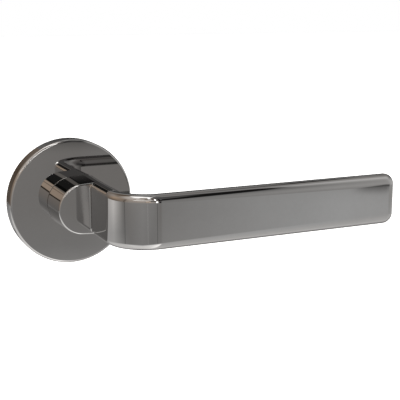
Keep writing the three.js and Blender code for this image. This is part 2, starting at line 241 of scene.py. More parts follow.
def threaded(outline, pitch, flank=0.5, segments=40):
    """Like turned(), from (radius, y, depth) points: a thread of that depth is cut in.

    flank is the share of the pitch that one flank takes up; below 0.5, the root is flat.
    """
    bm = turned([(radius, y) for radius, y, depth in outline], segments)
    depths = []
    for radius, y, depth in outline:
        depths += [depth] * (1 if radius < 1e-6 else segments)
    for vertex, depth in zip(bm.verts, depths):
        if depth:
            angle = math.atan2(vertex.co.z, vertex.co.x)
            phase = abs((vertex.co.y / pitch - angle / TAU) % 1 - 0.5)
            cut = depth * min(1.0, phase / flank)
            radius = math.hypot(vertex.co.x, vertex.co.z)
            vertex.co.x *= 1 - cut / radius
            vertex.co.z *= 1 - cut / radius
    return bm


def thread_run(radius, depth, front, back, pitch):
    """Outline points of a threaded stretch, whose thread fades in and out over half a turn."""
    points_per_turn = 10
    count = max(8, round(abs(back - front) / pitch * points_per_turn))
    points = []
    for i in range(count + 1):
        y = front + (back - front) * i / count
        fade = min(1.0, min(i, count - i) / (points_per_turn / 2))
        points.append((radius, y, depth * fade))
    return points


def plain(points):
    """Outline points without a thread."""
    return [(radius, y, 0) for radius, y in points]


def combine(piece, tools, operation):
    """Joins to, or cuts from, a piece a list of tool objects, and keeps the result as its mesh."""
    for tool in tools:
        modifier = piece.modifiers.new(operation.lower(), "BOOLEAN")
        modifier.operation = operation
        modifier.solver = "EXACT"
        modifier.object = tool
    bpy.context.view_layer.update()
    evaluated = piece.evaluated_get(bpy.context.evaluated_depsgraph_get())
    mesh = bpy.data.meshes.new_from_object(evaluated)
    name = piece.name
    for thing in [piece, *tools]:
        bpy.data.objects.remove(thing)
    return object_of(name, mesh)


def weigh_normals(piece):
    """Large flat faces keep flat shading beside their rounded edges."""
    modifier = piece.modifiers.new("weighted normals", "WEIGHTED_NORMAL")
    modifier.keep_sharp = True
    modifier.weight = 90
    return piece


# ---------------------------------------------------------------- the lever

STRAIGHT = -(LEVER_FRONT + BEND) + BAR_ROOT  # length of the straight bar
BEND_X = BAR_LEFT + BEND
BEND_Y = LEVER_FRONT + BEND
CURVE = math.pi / 2 * BEND
BLADE = BLADE_END - BEND_X


def bent(s, z, t):
    """A point s along the bar and blade from its root, z up, and t in from the outer face."""
    if s < STRAIGHT:
        return BAR_LEFT + t, BAR_ROOT - s, z
    if s < STRAIGHT + CURVE:
        angle = (s - STRAIGHT) / BEND
        radius = BEND - t
        return BEND_X - radius * math.cos(angle), BEND_Y - radius * math.sin(angle), z
    return BEND_X + s - STRAIGHT - CURVE, LEVER_FRONT + t, z


def edge_profile(s, steps=10):
    """Points across the thickness: (in from the edge, in from the outer face). The outer rounding grows."""
    along = max(0.0, min(1.0, (s - STRAIGHT) / (CURVE + BLADE))) ** 0.8
    across = OUTER_EDGE + (OUTER_EDGE_END[0] - OUTER_EDGE) * along
    depth = OUTER_EDGE + (OUTER_EDGE_END[1] - OUTER_EDGE) * along
    outer = [(across * d, depth * t) for d, t in arc((1, 1), 1, 270, 180, steps)]
    return outer + arc((INNER_EDGE, THICKNESS - INNER_EDGE), INNER_EDGE, 180, 90, steps)


def bar_and_blade():
    """A plate with rounded edges and end corners, bent round the bar's corner."""
    bm = bmesh.new()
    end_s = STRAIGHT + CURVE + BLADE
    last_s = end_s - OUTER_EDGE_END[0] - SHARPEST
    stations = [STRAIGHT * i / 4 for i in range(4)]
    stations += [STRAIGHT + CURVE * i / 64 for i in range(64)]
    stations += [STRAIGHT + CURVE + (last_s - STRAIGHT - CURVE) * i / 40 for i in range(41)]
    profiles = [edge_profile(s) for s in stations]
    rings = len(profiles[0])
    bottom, top = [], []
    for s, profile in zip(stations, profiles):
        bottom.append([bm.verts.new(bent(s, d - HALF_HEIGHT, t)) for d, t in profile])
        top.append([bm.verts.new(bent(s, HALF_HEIGHT - d, t)) for d, t in profile])

    # Round the end: each ring keeps its distance from the edge round both corners.
    ends = []
    for d, t in edge_profile(end_s):
        along, up = max(SHARPEST, BLADE_CORNER - d * END_SHARE), max(SHARPEST, BLADE_CORNER - d)
        middle_s, middle_z = end_s - d * END_SHARE - along, HALF_HEIGHT - d - up
        corner = [(middle_s + along * a, middle_z + up * b) for a, b in arc((0, 0), 1, 0, 90, 14)]
        corners = [(s, -z) for s, z in corner[::-1]] + corner
        ends.append([bm.verts.new(bent(s, z, t)) for s, z in corners])

    def strip(a, b):
        for k in range(rings - 1):
            bm.faces.new((a[k], a[k + 1], b[k + 1], b[k]))

    for side in (bottom, top):
        for a, b in zip(side, side[1:]):
            strip(a, b)
    around = [bottom[-1]] + [[ring[i] for ring in ends] for i in range(len(ends[0]))] + [top[-1]]
    for a, b in zip(around, around[1:]):
        strip(a, b)
    for k in (0, rings - 1):
        for i in range(len(stations) - 1):
            bm.faces.new((bottom[i][k], bottom[i + 1][k], top[i + 1][k], top[i][k]))
        bm.faces.new([column[k] for column in around])
    bm.faces.new(bottom[0] + top[0][::-1])
    return bm


def neck_outline(inset):
    """(x, z) round the neck: a round left side that runs on into the bar's rounded right side."""
    low_x, low_z = BAR_LEFT + OUTER_EDGE, HALF_HEIGHT - OUTER_EDGE
    far_x, far_z = NECK_RADIUS - INNER_EDGE, HALF_HEIGHT - INNER_EDGE
    reach = math.hypot(low_x, low_z)
    tangent = math.degrees(math.atan2(low_z, low_x) + math.acos((NECK_RADIUS - OUTER_EDGE) / reach))
    top = arc((far_x, far_z), INNER_EDGE - inset, 0, 90, 12)
    top += arc((low_x, low_z), OUTER_EDGE - inset, 90, tangent, 2)
    top += arc((0, 0), NECK_RADIUS - inset, tangent, 180, 60)
    return top + [(x, -z) for x, z in top[-2::-1]]


def neck():
    """The neck's prism, with a small hollow fillet at the rose and a rounded rim at its end."""
    bm = bmesh.new()
    foot = arc((NECK_FOOT, BAR_ROOT - NECK_FOOT), NECK_FOOT, 90, 180, 5)
    rim = arc((NECK_RIM, NECK_END + NECK_RIM), NECK_RIM, 180, 270, 10)
    levels = [(inset - NECK_FOOT, y) for inset, y in foot] + rim
    return skin(bm, [[bm.verts.new((x, y, z)) for x, z in neck_outline(inset)] for inset, y in levels])


def journal():
    """What turns in the rose, with the retaining ring's groove."""
    inside_neck, shoulder_edge, end_edge = BAR_ROOT - 2, 0.25, 0.4
    outline = [(0, inside_neck), (NECK_RADIUS, inside_neck)]
    outline += arc((NECK_RADIUS - shoulder_edge, SHOULDER - shoulder_edge), shoulder_edge, 0, 90, 4)
    outline += [(JOURNAL_RADIUS, SHOULDER), (JOURNAL_RADIUS, GROOVE_FRONT), (GROOVE_RADIUS, GROOVE_FRONT)]
    outline += [(GROOVE_RADIUS, GROOVE_BACK), (JOURNAL_RADIUS, GROOVE_BACK)]
    outline += arc((JOURNAL_RADIUS - end_edge, JOURNAL_BACK - end_edge), end_edge, 0, 90, 4)
    outline += [(0, JOURNAL_BACK)]
    return turned(outline)


def wall_x(z):
    """Where the bar's left wall stands at a height, round its long edges."""
    over = max(0.0, abs(z) - (HALF_HEIGHT - OUTER_EDGE))
    return BAR_LEFT + OUTER_EDGE - math.sqrt(OUTER_EDGE ** 2 - over ** 2)


def crease():
    """A small hollow fillet between the neck's end and the bar's left wall, fading out at both ends."""
    bm = bmesh.new()
    steps = 16
    reach, fading, least = 9.4, 1.2, 0.04
    into_wall, into_neck = 0.3, NECK_END + 0.2
    loops = []
    for i in range(-steps, steps + 1):
        z = reach * math.sin(math.pi / 2 * i / steps)
        radius = least + CREASE * min(1.0, (reach + 0.1 - abs(z)) / fading)
        x = wall_x(z)
        points = arc((x - radius, NECK_END - radius), radius, 90, 0, 6)
        points += [(x + into_wall, NECK_END - radius), (x + into_wall, into_neck), (x - radius, into_neck)]
        loops.append([bm.verts.new((px, py, z)) for px, py in points])
    return skin(bm, loops)


def make_lever():
    """The casting: neck, bar, bend and blade, with the socket, the flats and the grub screw's hole."""
    lever = to_object("lever_casting", journal())
    made = [("neck", neck()), ("bar", bar_and_blade()), ("crease", crease())]
    joined = combine(lever, [to_object(name, bm) for name, bm in made], "UNION")
    side, clear, past_end = SPINDLE_HALF + SOCKET_GAP, JOURNAL_RADIUS + 1, JOURNAL_BACK + 1
    socket = box_mesh((-side, SOCKET_FRONT, -side), (side, past_end, side))
    left = box_mesh((-clear, FLAT_FRONT, -clear), (-FLAT_DISTANCE, past_end, clear))
    right = box_mesh((FLAT_DISTANCE, FLAT_FRONT, -clear), (clear, past_end, clear))
    start, sink, mouth = SPINDLE_HALF - 0.1, 0.6, 10.6
    hole = [(0, start), (GRUB_HOLE, start), (GRUB_HOLE, mouth - sink), (GRUB_HOLE + sink, mouth), (0, mouth)]
    hole = turned(hole, 48)
    bmesh.ops.rotate(hole, cent=(0, 0, 0), matrix=Matrix.Rotation(-math.pi / 2, 3, "X"), verts=hole.verts)
    bmesh.ops.translate(hole, vec=(0, GRUB_Y, 0), verts=hole.verts)
    cutters = [("socket", socket), ("left", left), ("right", right), ("hole", hole)]
    lever = combine(joined, [to_object(name, bm) for name, bm in cutters], "DIFFERENCE")
    return weigh_normals(lever)


# ---------------------------------------------------------------- the rose

def make_cover():
    """A cup with a rounded rim, a groove for the snap ring and a notch at the bottom to lever it off by."""
    hole, hole_edge = NECK_RADIUS + 0.12, 0.25
    face, rim, back_edge = 1, 1, 0.15
    inner = ROSE_RADIUS - 1.2
    groove = inner + 0.45
    outline = arc((hole + hole_edge, ROSE_FRONT + hole_edge), hole_edge, 180, 270, 6)
    outline += arc((ROSE_RADIUS - rim, ROSE_FRONT + rim), rim, 270, 360, 12)
    outline += [(ROSE_RADIUS, -back_edge), (ROSE_RADIUS - back_edge, 0), (inner, 0)]
    outline += [(inner, CLIP_BACK), (groove, CLIP_BACK), (groove, CLIP_FRONT), (inner, CLIP_FRONT)]
    outline += [(inner, ROSE_FRONT + face), (hole, ROSE_FRONT + face)]
    cover = to_object("rose_cup", turned(outline, 256, closed=True))
    notch = to_object("notch", box_mesh((-2.5, -1.3, -ROSE_RADIUS - 3), (2.5, 1, -ROSE_RADIUS + 3)))
    return weigh_normals(combine(cover, [notch], "DIFFERENCE"))


SLEEVE_DIRECTIONS = {"upper": 90, "lower": 270}
WOOD_SCREW_DIRECTIONS = {"right": 0, "left": 180}
CAGE_SCREW_DIRECTIONS = (135, 225, 315)
FIXING_RADIUS = 19.0
CAGE_SCREW_RING = 15.9
SLEEVE_RADIUS = 3.0
SLEEVE_HEAD = 4.2
WOOD_RADIUS = 1.75
WOOD_HEAD = 3.4
BASE_FRONT = base_low.y
BASE_RADIUS = base_high.x
BASE_BORE = 9.7
HUB_RADIUS = 10.9  # the hub stands between the bore and the spring's pocket
HUB_BACK = -2.3
POCKET_RADIUS = 14.4
POCKET_FRONT = -4.9
PLATE_RECESS = 17.5
PLATE_FRONT = cad("cage_plate")[0].y
PLATE_GAP = 0.25
SCREW_HOLE = 1.1  # radius of the cage screws' holes
TAB_SLOT = (13.5, 16.6, 12.3, 74.2)  # radii and angles of the slot whose ends stop the drive plate's tab
TAB_ANGLES = (63.3, 73.3)  # where the tab stands at rest
SPRING_FRONT, SPRING_REAR = -4.1, -2.7
SPRING_FIXED_END, SPRING_FREE_END = 200, 60.3
SPRING_RADIUS = 12.6
SPRING_STRIP, SPRING_WIDTH = 0.7, 2.0


def scalloped(radius, sleeve_boss, wood_boss):
    """A disc's outline with a scallop round each boss, all star-shaped about the axis."""
    bosses = [(direction, sleeve_boss) for direction in SLEEVE_DIRECTIONS.values()]
    bosses += [(direction, wood_boss) for direction in WOOD_SCREW_DIRECTIONS.values()]
    outline = []
    steps = 480
    for step in range(steps):
        angle = TAU * (step + 0.5) / steps
        reach = radius
        for direction, boss in bosses:
            along = math.cos(angle - math.radians(direction))
            aside = FIXING_RADIUS * math.sin(angle - math.radians(direction))
            if along > 0 and abs(aside) < boss:
                reach = min(reach, FIXING_RADIUS * along - math.sqrt(boss * boss - aside * aside))
        outline.append((reach * math.cos(angle), reach * math.sin(angle)))
    return outline


def make_base():
    """The cast ring: bore and hub, the spring's pocket, the plate's seat, bosses and lightening pockets."""
    edge, groove = 0.3, BASE_RADIUS - 0.9
    outline = [(BASE_BORE, BASE_FRONT)] + arc((BASE_RADIUS - edge, BASE_FRONT + edge), edge, 270, 360, 4)
    outline += [(BASE_RADIUS, CLIP_FRONT), (groove, CLIP_FRONT)]
    outline += [(groove, CLIP_BACK), (BASE_RADIUS, CLIP_BACK)]
    outline += arc((BASE_RADIUS - edge, -edge), edge, 0, 90, 4)
    outline += [(POCKET_RADIUS, 0), (POCKET_RADIUS, POCKET_FRONT), (HUB_RADIUS, POCKET_FRONT)]
    outline += [(HUB_RADIUS, HUB_BACK), (BASE_BORE, HUB_BACK)]
    base = to_object("cast_base", spun(turned(outline, 160, closed=True), 0.7))

    before, behind = BASE_FRONT - 1, 1
    seat = scalloped(PLATE_RECESS, SLEEVE_RADIUS + 0.9, WOOD_RADIUS + 1.2)
    cutters = [prism(seat, PLATE_FRONT - 0.3, behind)]
    step, hole, head = BASE_FRONT + 1.1, SLEEVE_RADIUS + 0.3, SLEEVE_HEAD + 0.3
    counterbore = [(0, before), (head, before), (head, step), (hole, step), (hole, behind), (0, behind)]
    for direction in SLEEVE_DIRECTIONS.values():
        cutters.append(placed(turned(counterbore, 44), FIXING_RADIUS, direction))
    mouth, hole = WOOD_HEAD + 0.5, WOOD_RADIUS + 0.4
    funnel = [(0, before), (mouth, before), (mouth, BASE_FRONT), (hole, BASE_FRONT + 2)]
    funnel += [(hole, behind), (0, behind)]
    for direction in WOOD_SCREW_DIRECTIONS.values():
        cutters.append(placed(turned(funnel, 40), FIXING_RADIUS, direction))
    for direction in CAGE_SCREW_DIRECTIONS:
        cutters.append(placed(rod(SCREW_HOLE, -4.2, behind, 24), CAGE_SCREW_RING, direction))
    cutters.append(prism(sector(*TAB_SLOT), -3.9, behind))
    leg_slot = box_mesh((13.6, POCKET_FRONT + 0.02, -0.75), (16.6, behind, 0.75))
    cutters.append(spun(leg_slot, SPRING_FIXED_END))
    for start in (20, 108, 200, 288):
        cutters.append(prism(sector(18.7, 22.7, start, start + 52), -4.15, behind))
    return weigh_normals(combine(base, [to_object("cut", bm) for bm in cutters], "DIFFERENCE"))


def make_cage_plate():
    """A stamped plate with scallops round the bosses and countersunk holes."""
    outline = scalloped(PLATE_RECESS - PLATE_GAP, SLEEVE_RADIUS + 1.2, WOOD_RADIUS + 1.5)
    plate = to_object("stamped_plate", prism(outline, PLATE_FRONT, 0))
    before, behind, edge, bore, countersink = PLATE_FRONT - 1, 1, 0.1, 8.5, 1.8
    hole = [(0, before), (bore + edge, before), (bore + edge, PLATE_FRONT), (bore, PLATE_FRONT + edge)]
    hole += [(bore, -edge), (bore + edge, 0), (bore + edge, behind), (0, behind)]
    sink = [(0, before), (SCREW_HOLE, before), (SCREW_HOLE, PLATE_FRONT + 0.1), (countersink, 0)]
    sink += [(countersink, behind), (0, behind)]
    cutters = [turned(hole, 96)]
    for direction in CAGE_SCREW_DIRECTIONS:
        cutters.append(placed(turned(sink, 32), CAGE_SCREW_RING, direction))
    return weigh_normals(combine(plate, [to_object("cut", bm) for bm in cutters], "DIFFERENCE"))


def make_drive_plate():
    """Keyed to the journal's flats; its bent tab winds the spring."""
    front, back, radius, edge = -2, -1.1, 14, 0.1
    outline = [(0, front), (radius - edge, front), (radius, front + edge), (radius, back - edge)]
    plate = to_object("keyed_plate", turned(outline + [(radius - edge, back), (0, back)], 128))
    bore = JOURNAL_RADIUS + JOURNAL_PLAY
    half = math.degrees(math.acos((FLAT_DISTANCE + JOURNAL_PLAY) / bore))
    keyhole = arc((0, 0), bore, half, 180 - half, 39) + arc((0, 0), bore, 180 + half, 360 - half, 39)
    plate = combine(plate, [to_object("keyhole", prism(keyhole, front - 1, 0))], "DIFFERENCE")

    # The arm and tab stay a hair inside the plate's faces, so that no two faces lie in one plane.
    start, end = TAB_ANGLES
    arm = to_object("arm", prism(sector(12, 16.1, start, end), front + 0.02, back - 0.02))
    tab = to_object("tab", prism(sector(15.2, 16.08, start + 0.1, end - 0.1), -3.6, back - 0.04))
    return weigh_normals(combine(plate, [arm, tab], "UNION"))


def make_retaining_ring():
    """An external circlip with two eyes at the top."""
    front, back = (corner.y for corner in cad("retaining_ring"))
    ring = to_object("circlip", prism(sector(7.3, 10, 106, 434), front, back))
    eye_directions = (69, 111)
    eyes = [placed(rod(1.9, front, back), 10.4, direction) for direction in eye_directions]
    ring = combine(ring, [to_object("eye", bm) for bm in eyes], "UNION")
    holes = [placed(rod(0.9, front - 1, back + 1, 32), 10.5, direction) for direction in eye_directions]
    return weigh_normals(combine(ring, [to_object("hole", bm) for bm in holes], "DIFFERENCE"))


def make_wave_washer():
    """Three shallow waves round the ring."""
    front, back = (corner.y for corner in cad("wave_washer"))
    wave = 0.14
    bm = tube(8.45, 11.15, front + wave, back - wave, 0.05, 144)
    for vertex in bm.verts:
        vertex.co.y += wave * math.cos(3 * math.atan2(vertex.co.z, vertex.co.x))
    return to_object("sprung_washer", bm)


def swept(section, path):
    """A closed section of (out, along) offsets carried along a path of (angle, radius, y) about the axis."""
    bm = bmesh.new()
    loops = []
    for degrees, radius, y in path:
        angle = math.radians(degrees)
        loop = []
        for out, along in section:
            r = radius + out
            loop.append(bm.verts.new((r * math.cos(angle), y + along, r * math.sin(angle))))
        loops.append(loop)
    return skin(bm, loops)


def make_snap_ring():
    """A split ring of drawn wire."""
    front, back = (corner.y for corner in cad("cover_snap_ring"))
    section = [(0.55 * a, 0.49 * b) for a, b in arc((0, 0), 1, 0, 337.5, 15)]
    path = [(-102 + 346 * i / 200, 24.375, (front + back) / 2) for i in range(201)]
    return to_object("snap_ring_wire", swept(section, path))


def make_spring():
    """Flat strip in an open coil, with a leg at each end that points outwards."""
    w, h, c = SPRING_WIDTH / 2, SPRING_STRIP / 2, 0.12
    section = [(w, c - h), (w, h - c), (w - c, h), (c - w, h)]
    section += [(-out, -along) for out, along in section]
    turn = SPRING_FREE_END - SPRING_FIXED_END - 360
    path = []
    for i in range(201):
        share = i / 200
        y = SPRING_FRONT + (SPRING_REAR - SPRING_FRONT) * share
        path.append((SPRING_FIXED_END + turn * share, SPRING_RADIUS, y))
    coil = to_object("coiled_strip", swept(section, path))
    legs = []
    for y, direction in ((SPRING_FRONT, SPRING_FIXED_END), (SPRING_REAR, SPRING_FREE_END)):
        leg = box_mesh((SPRING_RADIUS - w / 2, y - h, -0.45), (16.3, y + h, 0.45))
        bmesh.ops.bevel(leg, geom=leg.edges[:], offset=0.1, segments=2, affect="EDGES")
        legs.append(to_object("leg", spun(leg, direction)))
    return weigh_normals(combine(coil, legs, "UNION"))


def make_spindle():
    """A square bar with rolled long edges and chamfered ends."""
    low, high = cad("spindle")
    half, chamfer, rolled = high.x, 0.6, 0.25
    square = []
    for quarter in range(4):
        middle = math.radians(45 + 90 * quarter)
        at = (half - rolled) * math.sqrt(2)
        centre = (at * math.cos(middle), at * math.sin(middle))
        square += arc(centre, rolled, 90 * quarter, 90 * quarter + 90, 4)
    bm = bmesh.new()
    loops = []
    lengths = [(low.y, chamfer), (low.y + chamfer, 0), (0, 0), (high.y - chamfer, 0), (high.y, chamfer)]
    for y, inset in lengths:
        scale = 1 - inset / half
        loops.append([bm.verts.new((x * scale, y, z * scale)) for x, z in square])
    return weigh_normals(to_object("square_bar", skin(bm, loops)))


def make_grub_screw():
    """A socket set screw with a fine thread, under the neck."""
    low, high = cad("grub_screw")
    radius = (high.x - low.x) / 2
    head, tip = low.z, high.z
    pitch, depth = 0.8, 0.4
    outline = plain([(0, head), (radius - depth, head), (radius, head + depth)])
    outline += thread_run(radius, depth, head + 0.45, tip - 1.05, pitch)
    outline += plain([(radius, tip - 1), (radius - 1, tip), (0, tip)])
    screw = to_object("set_screw", threaded(outline, pitch))
    screw = combine(screw, [to_object("hexagon", prism(hexagon(2.5), head - 1, head + 2))], "DIFFERENCE")
    stand = Matrix.Translation((0, GRUB_Y * MM, 0)) @ Matrix.Rotation(math.pi / 2, 4, "X")
    screw.data.transform(stand)
    return weigh_normals(screw)


def cross_slot(length, width, front, back):
    """The two cutters of a cross recess."""
    half, thin = length / 2, width / 2
    return [to_object("slot", box_mesh((-half, front, -thin), (half, back, thin))),
            to_object("slot", box_mesh((-thin, front, -half), (thin, back, half)))]


def make_cage_screw(name, direction):
    """Small and countersunk, with a cross recess."""
    head, tip, radius, pitch = cad(name)[1].y, -3.8, 0.8, 0.5
    outline = plain([(0, tip), (0.45, tip)]) + thread_run(radius, 0.2, tip + 0.2, PLATE_FRONT - 0.4, pitch)
    outline += plain([(radius, PLATE_FRONT), (1.36, head - 0.15), (1.4, head - 0.08)])
    outline += plain([(1.32, head), (0, head)])
    screw = to_object("small_" + name, threaded(outline, pitch, segments=32))
    screw = combine(screw, cross_slot(1.9, 0.36, -0.5, 1), "DIFFERENCE")
    screw.data.transform(place(CAGE_SCREW_RING, direction))
    return weigh_normals(screw)


def make_sleeve(name, direction):
    """Flanged, with a hexagon socket in its head and a thread in its bore."""
    front, back = (corner.y for corner in cad(name))
    head, r, bore, pitch = SLEEVE_HEAD, SLEEVE_RADIUS, 1.7, 0.7
    flange, bottom = front + 0.7, front + 2.4
    outline = plain([(0, front), (head - 0.2, front), (head, front + 0.2), (head, front + 0.6)])
    outline += plain([(head - 0.1, flange), (r, flange), (r, back - 0.4), (r - 0.4, back)])
    outline += plain([(bore + 0.3, back), (bore, back - 0.3)])
    outline += thread_run(bore, -0.25, back - 0.35, bottom + 0.2, pitch)
    outline += plain([(bore, bottom), (0, bottom)])
    sleeve = to_object("threaded_" + name, threaded(outline, pitch))
    sleeve = combine(sleeve, [to_object("hexagon", prism(hexagon(3), front - 1, front + 1.6))], "DIFFERENCE")
    sleeve.data.transform(place(FIXING_RADIUS, direction))
    return weigh_normals(sleeve)


def make_wood_screw(name, direction):
    """Countersunk, with a coarse thread that runs out at a gimlet point."""
    head, tip = (corner.y for corner in cad(name))
    depth, pitch, point = 0.55, 1.6, 2.5
    outline = plain([(0, head), (WOOD_HEAD - 0.1, head), (WOOD_HEAD, head + 0.12), (WOOD_HEAD, head + 0.25)])
    outline += plain([(WOOD_RADIUS - depth + 0.1, head + 2.1)])
    outline += thread_run(WOOD_RADIUS, depth, head + 2.3, tip - point - 0.1, pitch)[1:-1]
    for i in range(16):
        share = i / 16
        y = tip - point + point * share
        outline.append((WOOD_RADIUS * (1 - share ** 1.5), y, depth * (1 - share) ** 1.2))
    outline += plain([(0, tip)])
    screw = to_object("turned_" + name, threaded(outline, pitch, 0.24, 48))
    screw = combine(screw, cross_slot(3.6, 0.8, head - 1, head + 1.4), "DIFFERENCE")
    screw.data.transform(place(FIXING_RADIUS, direction))
    return weigh_normals(screw)


def place(radius, direction):
    """The move, in metres, from the axis to a fixing's place."""
    angle = math.radians(direction)
    return Matrix.Translation((radius * math.cos(angle) * MM, 0, radius * math.sin(angle) * MM))


# ---------------------------------------------------------------- materials

def surface(name, metallic, roughness, bump, grain, tones, stretch=(1, 1, 1), blotch=90):
    """A procedural surface: tones and roughness that drift over large blotches, and a fine grain.

    roughness is (least, most) and bump is (strength, distance in metres). grain and blotch are the scales
    of the fine and the broad pattern for each metre. stretch draws the grain out along an axis.
    """
    material = bpy.data.materials.new(name)
    material.use_nodes = True
    nodes, links = material.node_tree.nodes, material.node_tree.links
    shader = nodes["Principled BSDF"]
    shader.inputs["Metallic"].default_value = metallic
    coordinates = nodes.new("ShaderNodeTexCoord")
    mapping = nodes.new("ShaderNodeMapping")
    mapping.inputs["Scale"].default_value = stretch
    links.new(coordinates.outputs["Object"], mapping.inputs["Vector"])

    fine = nodes.new("ShaderNodeTexNoise")
    fine.inputs["Scale"].default_value = grain
    fine.inputs["Detail"].default_value = 4
    links.new(mapping.outputs["Vector"], fine.inputs["Vector"])
    broad = nodes.new("ShaderNodeTexNoise")
    broad.inputs["Scale"].default_value = blotch
    broad.inputs["Detail"].default_value = 3
    links.new(coordinates.outputs["Object"], broad.inputs["Vector"])

    both = nodes.new("ShaderNodeMath")
    both.operation = "MULTIPLY_ADD"
    links.new(fine.outputs["Fac"], both.inputs[0])
    both.inputs[1].default_value = 0.45
    links.new(broad.outputs["Fac"], both.inputs[2])
    colours = nodes.new("ShaderNodeValToRGB")
    colours.color_ramp.elements[0].position = 0.55
    colours.color_ramp.elements[1].position = 0.92
    while len(colours.color_ramp.elements) < len(tones):
        colours.color_ramp.elements.new(0.73)
    for element, tone_colour in zip(colours.color_ramp.elements, tones):
        element.color = (*tone_colour, 1)
    links.new(both.outputs[0], colours.inputs["Fac"])
    links.new(colours.outputs["Color"], shader.inputs["Base Color"])

    rough = nodes.new("ShaderNodeMapRange")
    links.new(both.outputs[0], rough.inputs["Value"])
    rough.inputs["From Min"].default_value = 0.5
    rough.inputs["From Max"].default_value = 0.95
    rough.inputs["To Min"].default_value, rough.inputs["To Max"].default_value = roughness
    links.new(rough.outputs["Result"], shader.inputs["Roughness"])

    relief = nodes.new("ShaderNodeBump")
    relief.inputs["Strength"].default_value, relief.inputs["Distance"].default_value = bump
    links.new(fine.outputs["Fac"], relief.inputs["Height"])
    links.new(relief.outputs["Normal"], shader.inputs["Normal"])
    return material


MATERIALS = {
    "dark_nickel": surface("polished dark nickel", 1, (0.012, 0.035), (0.02, 0.000002), 700,
                           [(0.392, 0.381, 0.371), (0.408, 0.397, 0.387)], (1, 1, 1), 60),
    "zinc_casting": surface("zinc alloy as cast", 0.9, (0.38, 0.6), (0.45, 0.00006), 2600,
                            [(0.34, 0.35, 0.36), (0.52, 0.53, 0.54), (0.62, 0.63, 0.64)], (1, 1, 1), 220),
    "zinc_plate": surface("bright zinc plate", 1, (0.16, 0.34), (0.16, 0.00002), 1500,
                          [(0.54, 0.56, 0.58), (0.68, 0.70, 0.72), (0.76, 0.78, 0.80)], (1, 0.12, 1), 160),
    "spring_steel": surface("oiled spring steel", 1, (0.2, 0.38), (0.2, 0.00002), 2200,
                            [(0.19, 0.19, 0.2), (0.34, 0.33, 0.34), (0.42, 0.41, 0.42)], (1, 4, 1), 240),
    "yellow_zinc": surface("yellow passivated zinc", 1, (0.18, 0.36), (0.12, 0.00002), 1400,
                           [(0.60, 0.42, 0.20), (0.72, 0.60, 0.30), (0.58, 0.62, 0.36)], (1, 1, 1), 320),
    "black_oxide": surface("black oxide steel", 0.8, (0.3, 0.5), (0.25, 0.00002), 2600,
                           [(0.02, 0.02, 0.024), (0.05, 0.05, 0.055), (0.08, 0.078, 0.08)], (1, 1, 1), 300),
    "nylon": surface("natural nylon", 0, (0.35, 0.55), (0.15, 0.00002), 1800,
                     [(0.74, 0.72, 0.66), (0.84, 0.82, 0.76), (0.88, 0.87, 0.82)], (1, 1, 1), 200),
}


# ---------------------------------------------------------------- camera, light, floor

CAMERA_AZIMUTH = -24.6
CAMERA_ELEVATION = 11.98
CAMERA_DISTANCE = 395.07
CAMERA_LENS = 81.87
CAMERA_AIM = Vector((55.35, -13.2, -2.88))


def make_camera():
    """Stands left of and above the handle, as the photograph's did."""
    azimuth = math.radians(CAMERA_AZIMUTH)
    elevation = math.radians(CAMERA_ELEVATION)
    level = math.cos(elevation)
    back = Vector((math.sin(azimuth) * level, -math.cos(azimuth) * level, math.sin(elevation)))
    camera = bpy.data.objects.new("camera", bpy.data.cameras.new("camera"))
    camera.data.lens = CAMERA_LENS
    camera.data.sensor_width = 36
    camera.location = (CAMERA_AIM + back * CAMERA_DISTANCE) * MM
    camera.rotation_euler = back.to_track_quat("Z", "Y").to_euler()
    bpy.context.scene.collection.objects.link(camera)
    bpy.context.scene.camera = camera


